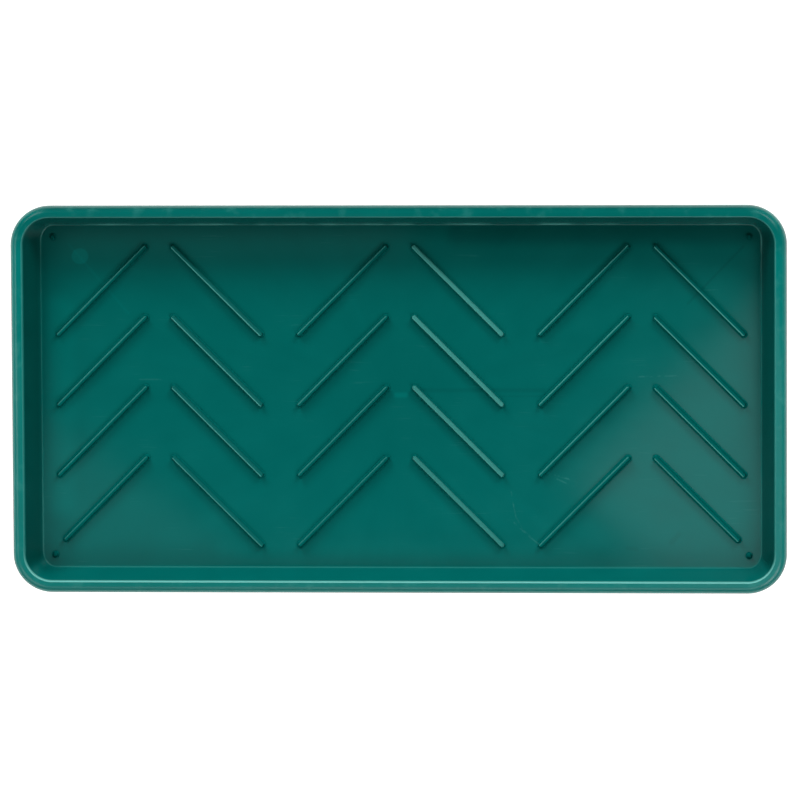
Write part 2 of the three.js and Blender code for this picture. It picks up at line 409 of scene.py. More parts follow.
def geometry_tree(name, sockets):
    """A new geometry node tree with these inputs and one geometry output, and the sockets of its inputs."""
    tree = bpy.data.node_groups.new(name, "GeometryNodeTree")
    for label, kind in sockets.items():
        tree.interface.new_socket(label, in_out="INPUT", socket_type=kind)
    tree.interface.new_socket("Geometry", in_out="OUTPUT", socket_type=GEOMETRY)
    return tree, tree.nodes.new("NodeGroupInput").outputs


def carried_section_tree():
    """Carries a sketched section round a path, and closes the result with flat faces at both its edges.
    The sketch holds the section at the ends of the path and the one along its sides, as corners of
    (inset, 0, height). Core is half the rectangle that the centres of the path's corners span."""
    tree, given = geometry_tree(
        CARRIED_SECTION, {"Sketch": GEOMETRY, "Path": GEOMETRY, "Core": VECTOR, "Arc Steps": INTEGER}
    )
    position = node(tree, POSITION)
    index = node(tree, "GeometryNodeInputIndex")

    # The two sections with their bends rounded, and how many points each has
    corners = node(tree, "GeometryNodeMeshToCurve", {"Mesh": given["Sketch"]})
    radius = node(tree, NAMED_ATTRIBUTE, {"Name": "radius"})
    rounding = {"Curve": corners, "Count": given["Arc Steps"], "Radius": radius, "Limit Radius": True}
    rounded = node(tree, FILLET, rounding, mode="POLY")
    both = node(tree, DOMAIN_SIZE, {"Geometry": rounded}, component="CURVE")
    points = node(tree, INTEGER_MATH, (both, 2), operation="DIVIDE")

    # The path's points, with the way out from each
    minus_core = node(tree, VECTOR_MATH, {0: given["Core"], "Scale": -1.0}, operation="SCALE")
    centre = node(tree, VECTOR_MATH, (position, minus_core), operation="MAXIMUM")
    centre = node(tree, VECTOR_MATH, (centre, given["Core"]), operation="MINIMUM")
    outward = node(tree, VECTOR_MATH, (position, centre), operation="SUBTRACT")
    outward = node(tree, VECTOR_MATH, (outward,), operation="NORMALIZE")
    stations = node(tree, "GeometryNodeCaptureAttribute", {"Geometry": given["Path"]})
    for label, source in (("Outline", position), ("Outward", outward)):
        stations.capture_items.new("VECTOR", label)
        tree.links.new(source.outputs[0], stations.inputs[label])

    # A strip along the path, with its points moved to the section that lies between the two
    strip = node(tree, "GeometryNodeCurvePrimitiveLine")
    strip = node(tree, "GeometryNodeResampleCurve", {"Curve": strip, "Count": points}, mode="COUNT")
    skin = node(tree, "GeometryNodeCurveToMesh", {"Curve": stations, "Profile Curve": strip})
    at_end = node(tree, INTEGER_MATH, (index, points), operation="MODULO")
    at_side = node(tree, INTEGER_MATH, (at_end, points), operation="ADD")
    end_point, side_point = (
        node(tree, SAMPLE_INDEX, {"Geometry": rounded, "Value": position, "Index": at}, **OF_VECTORS)
        for at in (at_end, at_side)
    )
    sideways = node(tree, SEPARATE, (stations.outputs["Outward"],)).outputs["Y"]
    share = node(tree, MATH, (sideways, sideways), operation="MULTIPLY")
    mixed = {MIX_SHARE: share, **dict(zip(MIX_VECTORS, (end_point, side_point)))}
    section = node(tree, MIX, mixed, data_type="VECTOR").outputs[MIXED_VECTOR]
    section = node(tree, SEPARATE, (section,))
    inset = {0: stations.outputs["Outward"], "Scale": section.outputs["X"]}
    inset = node(tree, VECTOR_MATH, inset, operation="SCALE")
    place = node(tree, VECTOR_MATH, (stations.outputs["Outline"], inset), operation="SUBTRACT")
    rise = node(tree, COMBINE, {"Z": section.outputs["Z"]})
    place = node(tree, VECTOR_MATH, (place, rise), operation="ADD")
    skin = node(tree, SET_POSITION, {"Geometry": skin, "Position": place})

    # A face over each edge of the strip
    around = node(tree, DOMAIN_SIZE, {"Geometry": given["Path"]}, component="CURVE")
    last = node(tree, INTEGER_MATH, (points, 1), operation="SUBTRACT")
    faces = []
    for first in (0, last):
        face = node(tree, "GeometryNodeMeshCircle", {"Vertices": around}, fill_type="NGON")
        on_skin = node(tree, INTEGER_MATH, (index, points, first), operation="MULTIPLY_ADD")
        place = {"Geometry": skin, "Value": position, "Index": on_skin}
        place = node(tree, SAMPLE_INDEX, place, **OF_VECTORS)
        faces.append(node(tree, SET_POSITION, {"Geometry": face, "Position": place}))
    faces[1] = node(tree, "GeometryNodeFlipFaces", {"Mesh": faces[1]})
    joined = node(tree, "GeometryNodeJoinGeometry", {"Geometry": [skin, *faces]})
    merged = node(tree, "GeometryNodeMergeByDistance", {"Geometry": joined, "Distance": MERGE_DISTANCE})
    node(tree, OUTPUT, {"Geometry": merged})
    return tree


def shell_tree():
    """The shell: its section carried round a rectangle with round corners, with the gate's recess and
    its stub under the middle, and the mark of an ejector pin pressed into the floor."""
    tree, given = geometry_tree("Tray shell", {
        "Sketch": GEOMETRY, "Length": FLOAT, "Width": FLOAT, "Corner Radius": FLOAT,
        "Corner Steps": INTEGER, "Arc Steps": INTEGER, "Material": MATERIAL,
        "Gate Radius": FLOAT, "Gate Depth": FLOAT, "Stub Radius": FLOAT, "Stub Height": FLOAT,
        "Pin Radius": FLOAT, "Pin Depth": FLOAT, "Pin Place": VECTOR,
    })
    rectangle = {"Width": given["Length"], "Height": given["Width"]}
    rectangle = node(tree, "GeometryNodeCurvePrimitiveQuadrilateral", rectangle)
    rounding = {"Curve": rectangle, "Count": given["Corner Steps"], "Radius": given["Corner Radius"]}
    path = node(tree, FILLET, rounding, mode="POLY")
    half = node(tree, COMBINE, (given["Length"], given["Width"]))
    half = node(tree, VECTOR_MATH, {0: half, "Scale": 0.5}, operation="SCALE")
    corner = node(tree, COMBINE, (given["Corner Radius"], given["Corner Radius"]))
    core = node(tree, VECTOR_MATH, (half, corner), operation="SUBTRACT")
    carried = {"Sketch": given["Sketch"], "Path": path, "Core": core, "Arc Steps": given["Arc Steps"]}
    shell = node(tree, GROUP, carried, node_tree=bpy.data.node_groups[CARRIED_SECTION])

    # The recess's cutter stands half below the base, and the stub hangs from the roof of the recess
    twice_deep = node(tree, MATH, (given["Gate Depth"], 2.0), operation="MULTIPLY")
    recess = {"Vertices": GATE_SIDES, "Radius": given["Gate Radius"], "Depth": twice_deep}
    recess = node(tree, CYLINDER, recess)
    stub = {"Vertices": STUB_SIDES, "Radius": given["Stub Radius"], "Depth": twice_deep}
    stub = node(tree, CYLINDER, stub)
    stub_rise = node(tree, MATH, (twice_deep, given["Stub Height"]), operation="SUBTRACT")
    stub_place = node(tree, COMBINE, {"Z": stub_rise})
    stub = node(tree, TRANSFORM, {"Geometry": stub, "Translation": stub_place})
    pin = {"Vertices": PIN_SIDES, "Radius Bottom": given["Pin Radius"], "Depth": given["Pin Depth"]}
    slope = (given["Pin Depth"], PIN_SLOPE, given["Pin Radius"])
    pin["Radius Top"] = node(tree, MATH, slope, operation="MULTIPLY_ADD")
    pin = node(tree, "GeometryNodeMeshCone", pin)
    pin = node(tree, TRANSFORM, {"Geometry": pin, "Translation": given["Pin Place"]})
    shell = node(tree, BOOLEAN, {"Mesh 1": shell, "Mesh 2": [recess, pin]}, operation="DIFFERENCE")
    shell = node(tree, BOOLEAN, {"Mesh 2": [shell, stub]}, operation="UNION")
    realized = node(tree, REALIZE, {"Geometry": shell})
    coated = node(tree, SET_MATERIAL, {"Geometry": realized, "Material": given["Material"]})
    node(tree, OUTPUT, {"Geometry": coated})
    return tree


def boss_tree():
    """Ribs or pips: a round boss on each seat, drawn out to both ends by the seat's half axis."""
    tree, given = geometry_tree(FLOOR_BOSSES, {
        "Seats": GEOMETRY, "Section": OBJECT, "Foot Radius": FLOAT, "Around": INTEGER,
        "Arc Steps": INTEGER, "Material": MATERIAL,
    })
    sketch = node(tree, "GeometryNodeObjectInfo", {"Object": given["Section"]})
    circle = {"Resolution": given["Around"], "Radius": given["Foot Radius"]}
    circle = node(tree, "GeometryNodeCurvePrimitiveCircle", circle)
    half_step = node(tree, MATH, (math.pi, given["Around"]), operation="DIVIDE")
    half_step = node(tree, COMBINE, {"Z": half_step})
    path = node(tree, TRANSFORM, {"Geometry": circle, "Rotation": half_step})
    carried = {"Sketch": sketch.outputs["Geometry"], "Path": path, "Arc Steps": given["Arc Steps"]}
    boss = node(tree, GROUP, carried, node_tree=bpy.data.node_groups[CARRIED_SECTION])

    # Each point keeps which end it belongs to and how far it stands to the side, for the drawing and the
    # painted highlight
    position = node(tree, POSITION)
    position = node(tree, SEPARATE, (position,))
    end = node(tree, MATH, (position.outputs["X"],), operation="SIGN")
    for label, value in (("end", end), ("side", position.outputs["Y"])):
        boss = {"Geometry": boss, "Name": label, "Value": value}
        boss = node(tree, "GeometryNodeStoreNamedAttribute", boss)
    end, half_axis, turn = (
        node(tree, NAMED_ATTRIBUTE, {"Name": name}) for name in ("end", "half_axis", "turn")
    )
    turn = node(tree, COMBINE, {"Z": turn})
    seated = {"Points": given["Seats"], "Instance": boss, "Rotation": turn}
    seated = node(tree, "GeometryNodeInstanceOnPoints", seated)
    realized = node(tree, REALIZE, {"Geometry": seated})
    reach = node(tree, MATH, (end, half_axis), operation="MULTIPLY")
    reach = node(tree, COMBINE, {"X": reach})
    reach = node(tree, "FunctionNodeRotateVector", {"Vector": reach, "Rotation": turn})
    drawn = node(tree, SET_POSITION, {"Geometry": realized, "Offset": reach})
    coated = node(tree, SET_MATERIAL, {"Geometry": drawn, "Material": given["Material"]})
    node(tree, OUTPUT, {"Geometry": coated})
    return tree


def new_object(name, data):
    """An object in the scene."""
    made = bpy.data.objects.new(name, data)
    bpy.context.scene.collection.objects.link(made)
    return made


def add_numbers(mesh, label, numbers):
    """Gives each point of a mesh its number, under this label."""
    mesh.attributes.new(label, "FLOAT", "POINT").data.foreach_set("value", numbers)


def sketch_mesh(name, end_section, side_section):
    """A sketch of two sections, each a row of corners of (inset, height, radius)."""
    corners = [*end_section, *side_section]
    count = len(end_section)
    edges = [(at, at + 1) for at in range(len(corners) - 1) if at != count - 1]
    mesh = bpy.data.meshes.new(name)
    mesh.from_pydata([(inset, 0, height) for inset, height, _ in corners], edges, [])
    add_numbers(mesh, "radius", [radius for *_, radius in corners])
    return mesh


def run_tree(piece, tree, values):
    """Gives a piece the mesh that a geometry node tree makes of it with these inputs."""
    modifier = piece.modifiers.new(tree.name, "NODES")
    modifier.node_group = tree
    for socket in tree.interface.items_tree:
        if socket.in_out == "INPUT" and socket.name in values:
            modifier[socket.identifier] = values[socket.name]
    settle(piece)


def settle(piece):
    """Makes what a piece's modifiers give its own plain mesh."""
    graph = bpy.context.evaluated_depsgraph_get()
    shaped = piece.evaluated_get(graph)
    mesh = bpy.data.meshes.new_from_object(shaped, preserve_all_data_layers=True, depsgraph=graph)
    piece.modifiers.clear()
    piece.data = mesh
    mesh.name = piece.name


def finish_piece(piece, *nodes):
    """Shades a piece smooth between its sharp edges, with flat faces kept flat, and puts it on the tray."""
    piece.data.shade_smooth()
    piece.data.set_sharp_from_angle(angle=SHARP_EDGE)
    piece.modifiers.new("Flat faces", "WEIGHTED_NORMAL").keep_sharp = True
    settle(piece)
    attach(piece, BODY)
    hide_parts(*nodes)


def skin_readings(tree):
    """What the patterns read at each point of the plastic's skin: its place, the way that it faces, how
    uneven its pigment is, and whether it is on the rim, or on a rib or a pip."""
    at = SimpleNamespace()
    at.place = node(tree, COORDINATES).outputs["Object"]
    _, at.across, at.height = node(tree, SEPARATE, (at.place,)).outputs
    at.level = node(tree, VECTOR_MATH, (at.place, (1, 1, 0)), operation="MULTIPLY")
    at.facing = node(tree, "ShaderNodeNewGeometry").outputs["Normal"]
    at.up = node(tree, SEPARATE, (at.facing,)).outputs["Z"]
    at.mottle = node(tree, NOISE, {"Vector": at.place, "Scale": 1 / MOTTLE_PATCH, "Detail": UNEVEN})
    at.on_rim = node(tree, MAP_RANGE, (at.height, *RIM_HEIGHTS), **SMOOTH)
    at.on_boss = node(tree, ATTRIBUTE, attribute_name="boss").outputs["Fac"]
    return at


def stroke(tree, place, start, end, half_width, soft):
    """A line across a material from start to end, in millimetres: 1 on it, and 0 past its soft edge."""
    start, end = (Vector((*corner, 0)) * MM for corner in (start, end))
    along = (end - start).normalized()
    spoke = node(tree, VECTOR_MATH, (place, start), operation="SUBTRACT")
    reach = node(tree, VECTOR_MATH, (spoke, along), operation="DOT_PRODUCT").outputs["Value"]
    reach = node(tree, "ShaderNodeClamp", (reach, 0.0, (end - start).length))
    nearest = node(tree, VECTOR_MATH, {0: along, "Scale": reach}, operation="SCALE")
    gap = node(tree, VECTOR_MATH, (spoke, nearest), operation="DISTANCE").outputs["Value"]
    return node(tree, MAP_RANGE, (gap, half_width * MM, (half_width - soft) * MM), **SMOOTH)


def toned(tree, skin, tones):
    """A colour with these tones laid over it in turn, each by its share."""
    for share, tone in tones:
        mixed = {MIX_SHARE: share, **dict(zip(MIX_COLOURS, (skin, tone)))}
        skin = node(tree, MIX, mixed, data_type="RGBA").outputs[MIXED_COLOUR]
    return skin


def pigment(tree, at, finish):
    """The plastic's own colour, with painted light and shade laid on: paler toward the front and along the
    rim but its back, as painted light, and darker on the end walls and down the back of the rim, as painted
    shade."""
    endways = node(tree, VECTOR_MATH, (at.facing,), operation="ABSOLUTE")
    endways = node(tree, SEPARATE, (endways,)).outputs["X"]
    to_front = node(tree, MAP_RANGE, (at.across, *FRONT_LIGHT_ACROSS), **SMOOTH)
    on_end = node(tree, MAP_RANGE, (endways, *END_FACING), **SMOOTH)
    off_foot = node(tree, MAP_RANGE, (at.height, *END_HEIGHTS, END_FOOT_SHARE, 1.0), **SMOOTH)
    on_end = node(tree, MATH, (on_end, off_foot), operation="MULTIPLY")
    not_back = node(tree, MAP_RANGE, (at.across, *RIM_BACK, RIM_BACK_SHARE, 1.0), **SMOOTH)
    on_rim = node(tree, MATH, (at.on_rim, not_back), operation="MULTIPLY")
    on_back = node(tree, MAP_RANGE, (at.across, *BACK_ROLL, 0.0, BACK_ROLL_SHARE), **SMOOTH)
    return toned(tree, finish.plastic, (
        (to_front, finish.front_light_tone), (on_end, finish.shade_tone), (on_rim, finish.rim), (on_back, finish.shade_tone),
    ))


def flow_shade(tree, at):
    """How light the plastic is: uneven pigment, faint streaks away from the gate, the floor's marks, and
    bands of painted shade and painted light.
    """
    outward = node(tree, VECTOR_MATH, (at.level,), operation="NORMALIZE")
    outward = node(tree, VECTOR_MATH, {0: outward, "Scale": STREAKS_ROUND}, operation="SCALE")
    along = node(tree, VECTOR_MATH, {0: at.place, "Scale": 1 / STREAK_LENGTH}, operation="SCALE")
    streak_place = node(tree, VECTOR_MATH, (outward, along), operation="ADD")
    streaks = node(tree, NOISE, {"Vector": streak_place, "Scale": 1.0, "Detail": RAGGED})
    from_gate = node(tree, VECTOR_MATH, (at.level,), operation="LENGTH").outputs["Value"]
    clear = node(tree, MAP_RANGE, (from_gate, *GATE_CLEAR), **SMOOTH)
    streaks = node(tree, MATH, (streaks, clear), operation="MULTIPLY")
    marks_and_painted_light = 0.0
    for *line, gain in FLOOR_MARKS_AND_PAINTED_LIGHT:
        marks_and_painted_light = node(tree, MATH, (stroke(tree, at.level, *line), gain, marks_and_painted_light), operation="MULTIPLY_ADD")
    on_floor = node(tree, MAP_RANGE, (at.up, *FLOOR_FACING), **SMOOTH)
    shade = 1 - (MOTTLE_GAIN + STREAK_GAIN) / 2
    for pattern, gain in ((at.mottle, MOTTLE_GAIN), (streaks, STREAK_GAIN), (marks_and_painted_light, on_floor)):
        shade = node(tree, MATH, (pattern, gain, shade), operation="MULTIPLY_ADD")
    return shade


def painted_rib_highlights(tree, at):
    """Painted highlight on the ribs: a line along the left edge of each top, and the whole top of some."""
    edge_rub, top_rub, side, turn = (
        node(tree, ATTRIBUTE, attribute_name=name).outputs["Fac"]
        for name in ("edge_rub", "top_rub", "side", "turn")
    )
    hand = node(tree, MATH, (turn,), operation="SIGN")
    left = node(tree, MATH, (side, hand), operation="MULTIPLY")
    on_left = node(tree, MAP_RANGE, (left, *LEFT_SIDE), **SMOOTH)
    on_top = node(tree, MAP_RANGE, (at.up, *TOP_FACING), **SMOOTH)
    left_line = node(tree, MATH, (on_left, edge_rub), operation="MULTIPLY")
    left_line = node(tree, MATH, (left_line, on_top), operation="MULTIPLY")
    rub = node(tree, MATH, (left_line, top_rub), operation="MAXIMUM")
    above_root = node(tree, MAP_RANGE, (at.height, *RIB_HEIGHTS), **SMOOTH)
    return node(tree, MATH, (rub, above_root), operation="MULTIPLY")


def rubbed_rim(tree, at):
    """How far the rim is rubbed, in blotches where hands have held it."""
    blotches = node(tree, NOISE, {"Vector": at.place, "Scale": 1 / RIM_PATCH, "Detail": RAGGED})
    blotches = node(tree, MAP_RANGE, (blotches, *RIM_NOISE, 0.0, RIM_RUB_SHARE), **SMOOTH)
    return node(tree, MATH, (blotches, at.on_rim), operation="MULTIPLY")


def painted_foot_highlight(tree, at):
    """Painted highlight on the fillet along the walls' feet: toward the front, and in places along the back.
    """
    rub = node(tree, MATH, (1.0, at.on_boss), operation="SUBTRACT")
    for value, span in ((at.up, FOOT_LOW_FACING), (at.up, FOOT_HIGH_FACING), (at.height, FOOT_HEIGHTS)):
        share = node(tree, MAP_RANGE, (value, *span), **SMOOTH)
        rub = node(tree, MATH, (rub, share), operation="MULTIPLY")
    front = node(tree, MAP_RANGE, (at.across, *FOOT_FRONT, 0.0, FOOT_FRONT_SHARE), **SMOOTH)
    back = node(tree, MAP_RANGE, (at.across, *FOOT_BACK, 0.0, FOOT_BACK_SHARE), **SMOOTH)
    patches = node(tree, NOISE, {"Vector": at.place, "Scale": 1 / FOOT_PATCH, "Detail": UNEVEN})
    patches = node(tree, MAP_RANGE, (patches, *FOOT_NOISE), **SMOOTH)
    share = node(tree, MATH, (back, patches, front), operation="MULTIPLY_ADD")
    return node(tree, MATH, (rub, share), operation="MULTIPLY")


def scuffed(tree, at):
    """How far the surface is scuffed: fine short scratches along the tray, in patches, and a few plain
    scuffs that come and go along their length."""
    scratch_place = node(tree, "ShaderNodeMapping", {"Vector": at.place, "Scale": SCRATCHES_PER_METRE})
    scratches = node(tree, NOISE, {"Vector": scratch_place, "Scale": 1.0, "Detail": UNEVEN})
    scratches = node(tree, MAP_RANGE, (scratches, *SCRATCH_NOISE), **SMOOTH)
    patches = node(tree, MAP_RANGE, (at.mottle, *SCRATCHED_PATCH, 0.0, SCRATCH_SHARE), **SMOOTH)
    rub = node(tree, MATH, (scratches, patches), operation="MULTIPLY")
    pieces = node(tree, NOISE, {"Vector": at.place, "Scale": 1 / SCUFF_PATCH, "Detail": UNEVEN})
    pieces = node(tree, MAP_RANGE, (pieces, *SCUFF_NOISE), **SMOOTH)
    for *line, share in SCUFFS:
        scuff = node(tree, MATH, (stroke(tree, at.level, *line), share), operation="MULTIPLY")
        scuff = node(tree, MATH, (scuff, pieces), operation="MULTIPLY")
        rub = node(tree, MATH, (rub, scuff), operation="MAXIMUM")
    return rub


def painted_edge_highlight(tree, at, sizes):
    """Painted highlight along the rim's inner edge, strongest at the front."""
    core = CAD_BOX[1] - Vector((sizes.corner_radius, sizes.corner_radius, 0))
    spoke = node(tree, VECTOR_MATH, (at.place,), operation="ABSOLUTE")
    spoke = node(tree, VECTOR_MATH, (spoke, core), operation="SUBTRACT")
    spoke = node(tree, VECTOR_MATH, (spoke,), operation="MAXIMUM")
    spoke = node(tree, VECTOR_MATH, (spoke,), operation="LENGTH").outputs["Value"]
    from_edge = node(tree, MATH, (spoke, sizes.corner_radius - sizes.rim_width), operation="SUBTRACT")
    from_edge = node(tree, MATH, (from_edge,), operation="ABSOLUTE")
    line = node(tree, MAP_RANGE, (from_edge, *RIM_EDGE_REACH), **SMOOTH)
    front = node(tree, MAP_RANGE, (at.across, *RIM_FRONT, EDGE_LINE_SHARE, 1.0), **SMOOTH)
    line = node(tree, MATH, (line, front), operation="MULTIPLY")
    return node(tree, MATH, (line, at.on_rim), operation="MULTIPLY")


def painted_shade(tree, at, sizes):
    """Painted shade: over the ribs and pips, and along the walls' feet but at the front."""
    on_flank = node(tree, MAP_RANGE, (at.up, *FLANK_FACING, 0.0, BOSS_SHADE), **SMOOTH)
    on_top = node(tree, MAP_RANGE, (at.height, *RIB_HEIGHTS, 0.0, BOSS_SHADE), **SMOOTH)
    over_boss = node(tree, MATH, (on_flank, on_top), operation="MAXIMUM")
    over_boss = node(tree, MATH, (over_boss, at.on_boss), operation="MULTIPLY")
    foot = CAD_BOX[1] - Vector((sizes.rim_width + sizes.end_lean, sizes.rim_width + sizes.side_lean, 0))
    gap = node(tree, VECTOR_MATH, (at.place,), operation="ABSOLUTE")
    gap = node(tree, VECTOR_MATH, (foot, gap), operation="SUBTRACT")
    gap = node(tree, SEPARATE, (gap,))
    gap = node(tree, MATH, (gap.outputs["X"], gap.outputs["Y"]), operation="MINIMUM")
    at_foot = node(tree, MAP_RANGE, (gap, SHADE_WIDTH, 0.0, 0.0, WALL_SHADE), **SMOOTH)
    for value, span in ((at.height, SHADE_HEIGHTS), (at.across, SHADE_BACK)):
        share = node(tree, MAP_RANGE, (value, *span), **SMOOTH)
        at_foot = node(tree, MATH, (at_foot, share), operation="MULTIPLY")
    return node(tree, MATH, (over_boss, at_foot), operation="MAXIMUM")


def moulded_polypropylene(finish, sizes):
    """Polypropylene, injection moulded: a satin skin with slightly uneven pigment, drawn into faint
    streaks away from the gate in the middle, and rubbed paler in scratches, scuffs and blotches. It also
    carries painted highlights along the ribs, the walls' feet and the rim's inner edge, and painted shade
    that darkens and dulls the ribs, the pips and the floor along the walls' feet."""
    material = bpy.data.materials.new(PLASTIC)
    material.use_nodes = True
    tree = material.node_tree
    at = skin_readings(tree)

    # Painted shade darkens the colour over the ribs, the pips and the floor along the walls' feet.
    shade_share = painted_shade(tree, at, sizes)
    unshaded = node(tree, MATH, (shade_share, -PAINTED_SHADE_GAIN, 1.0), operation="MULTIPLY_ADD")
    shade = node(tree, MATH, (flow_shade(tree, at), unshaded), operation="MULTIPLY")
    skin = node(tree, VECTOR_MATH, {0: pigment(tree, at, finish), "Scale": shade}, operation="SCALE")
    # Painted highlights along the ribs and the walls' feet, and real rubs and scuffs, pale the colour.
    rub = painted_rib_highlights(tree, at)
    for other in (painted_foot_highlight(tree, at), rubbed_rim(tree, at), scuffed(tree, at)):
        rub = node(tree, MATH, (rub, other), operation="MAXIMUM")
    # The painted highlight along the rim's inner edge goes over it.
    skin = toned(tree, skin, ((rub, finish.rub_and_highlight_tone), (painted_edge_highlight(tree, at, sizes), finish.edge_highlight_tone)))

    rough = node(tree, MATH, (at.mottle, MOTTLE_ROUGHNESS, POLISH), operation="MULTIPLY_ADD")
    rough = node(tree, MATH, (at.on_boss, BOSS_ROUGHNESS, rough), operation="MULTIPLY_ADD")
    # The painted shade and the ribs and pips also dull the specular level.
    dull = node(tree, MATH, (shade_share, at.on_boss), operation="MAXIMUM")
    gloss = node(tree, MATH, (dull, -SHADE_DULLING, SPECULAR_LEVEL), operation="MULTIPLY_ADD")
    waves = node(tree, NOISE, {"Vector": at.place, "Scale": 1 / WAVE_LENGTH, "Detail": PLAIN})
    waves = node(tree, BUMP, {"Height": waves, "Distance": WAVE_HEIGHT})
    grain = node(tree, NOISE, {"Vector": at.place, "Scale": 1 / GRAIN_SIZE, "Detail": PLAIN})
    grain = node(tree, BUMP, {"Height": grain, "Distance": GRAIN_HEIGHT, "Normal": waves})
    shader = tree.nodes[SHADER]
    shader.inputs["IOR"].default_value = PLASTIC_IOR
    tree.links.new(skin, shader.inputs["Base Color"])
    for label, source in (("Roughness", rough), ("Specular IOR Level", gloss), ("Normal", grain)):
        tree.links.new(source.outputs[0], shader.inputs[label])
    return material


def plastic():
    """The tray's one material, made when the first piece asks for it."""
    scene = bpy.context.scene
    made = bpy.data.materials.get(PLASTIC)
    return made or moulded_polypropylene(scene.tray_finish, scene.tray_shell_sizes)


class TRAY_OT_mould_shell(bpy.types.Operator):
    """Moulds the floor, the leaning walls and the rolled rim as one shell"""

    bl_idname = "tray.mould_shell"
    bl_label = "Mould the shell"
    bl_options = {"REGISTER", "UNDO"}

    def execute(self, context):
        sizes = context.scene.tray_shell_sizes
        low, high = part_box(SHELL_NODE)
        span = high - low
        sections = [self.section(sizes, span.z, lean) for lean in (sizes.end_lean, sizes.side_lean)]
        shell = new_object("moulded_shell", sketch_mesh("shell section", *sections))
        carried_section_tree()
        # The cutter of the pin's mark stands as far above the floor as it goes into it
        run_tree(shell, shell_tree(), {
            "Length": span.x, "Width": span.y, "Corner Radius": sizes.corner_radius,
            "Corner Steps": SHELL_CORNER_STEPS, "Arc Steps": SHELL_BEND_STEPS, "Material": plastic(),
            "Gate Radius": sizes.gate_width / 2, "Gate Depth": sizes.gate_depth,
            "Stub Radius": sizes.stub_width / 2, "Stub Height": sizes.stub_height,
            "Pin Radius": sizes.pin_width / 2, "Pin Depth": 2 * sizes.pin_depth,
            "Pin Place": (sizes.pin_x, sizes.pin_y, sizes.floor_thickness - sizes.pin_depth),
        })
        finish_piece(shell, SHELL_NODE)
        return {"FINISHED"}

    def section(self, sizes, height, lean):
        """The section from the floor up a wall, over the rim and back to the base, with its wall's lean."""
        lean_per_height = lean / (height - sizes.floor_thickness)
        slant_thickness = sizes.wall_thickness * math.hypot(1, lean_per_height)
        skirt_foot = height - sizes.skirt_depth
        rim_underside = height - sizes.wall_thickness
        inner_foot = sizes.rim_width + lean
        floor_edge = inner_foot + 2 * sizes.floor_fillet
        outer_top = sizes.rim_width + sizes.wall_thickness * lean_per_height - slant_thickness
        outer_foot = sizes.rim_width + height * lean_per_height - slant_thickness
        return [
            (floor_edge, sizes.floor_thickness, 0),
            (inner_foot, sizes.floor_thickness, sizes.floor_fillet),
            (sizes.rim_width, height, sizes.rim_edge),
            (0, height, sizes.rim_roll),
            (0, skirt_foot, sizes.lip_radius),
            (sizes.wall_thickness, skirt_foot, sizes.lip_radius),
            (sizes.wall_thickness, rim_underside, sizes.rim_roll - sizes.wall_thickness),
            (outer_top, rim_underside, sizes.rim_edge),
            (outer_foot, 0, sizes.floor_fillet + sizes.wall_thickness),
            (floor_edge, 0, 0),
        ]


def mould_bosses(name, nodes, foot, top, edge, root, highlights):
    """Bosses on the floor, each where its node is: drawn out along a rib, and round where it is square.
    The last argument says how strongly a painted highlight shows along the edge and over the whole of each
    top."""
    seats, half_axes, turns = [], [], []
    for node_name in nodes:
        low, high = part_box(node_name)
        run, rise = high.x - low.x - foot, high.y - low.y - foot
        seats.append(((low.x + high.x) / 2, (low.y + high.y) / 2, low.z))
        half_axes.append(math.hypot(run, rise) / 2 if run > MERGE_DISTANCE else 0)
        hand = 1 if "left" in node_name else -1
        turns.append(hand * math.atan2(rise, run) if run > MERGE_DISTANCE else 0)
    low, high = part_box(nodes[0])
    height = high.z - low.z
    half_foot, half_top = foot / 2, top / 2
    reach = half_foot + root
    section = [
        (reach - half_top / 2, height, 0),
        (reach - half_top, height, edge),
        (reach - half_foot, 0, root),
        (0, 0, FILLET_FOOT_BEND),
        (0, -BOSS_SUNK, 0),
    ]
    sketch = new_object(name + "_section", sketch_mesh(name + " section", section, section))
    mesh = bpy.data.meshes.new(name)
    mesh.from_pydata(seats, [], [])
    edge_highlights, top_highlights = zip(*highlights)
    values = {
        "half_axis": half_axes, "turn": turns, "edge_rub": edge_highlights, "top_rub": top_highlights,
        "boss": [1.0] * len(nodes),
    }
    for label, numbers in values.items():
        add_numbers(mesh, label, numbers)
    bosses = new_object(name, mesh)
    tree = bpy.data.node_groups.get(FLOOR_BOSSES) or boss_tree()
    run_tree(bosses, tree, {
        "Section": sketch, "Foot Radius": reach, "Around": BOSS_SIDES, "Arc Steps": BOSS_BEND_STEPS,
        "Material": plastic(),
    })
    bpy.data.objects.remove(sketch)
    finish_piece(bosses, *nodes)


class TRAY_OT_mould_ribs(bpy.types.Operator):
    """Moulds the drip ribs that lift the pots clear of the water"""

    bl_idname = "tray.mould_ribs"
    bl_label = "Mould the drip ribs"
    bl_options = {"REGISTER", "UNDO"}

    def execute(self, context):
        sizes = context.scene.tray_boss_sizes
        highlights = [self.rub(name) for name in RIB_NODES]
        form = (sizes.rib_foot, sizes.rib_top, sizes.rib_edge, sizes.root_fillet)
        mould_bosses("drip_ribs", RIB_NODES, *form, highlights)
        return {"FINISHED"}

    def rub(self, name):
        """How strong the painted highlight is along the left edge and over the whole of a rib's top."""
        chevron = name.split("_row")[0]
        hand = "left" if "left" in name else "right"
        row = next(share for row, share in ROW_HIGHLIGHTS.items() if row in name)
        return [share * row for share in RIB_HIGHLIGHTS[chevron, hand]]


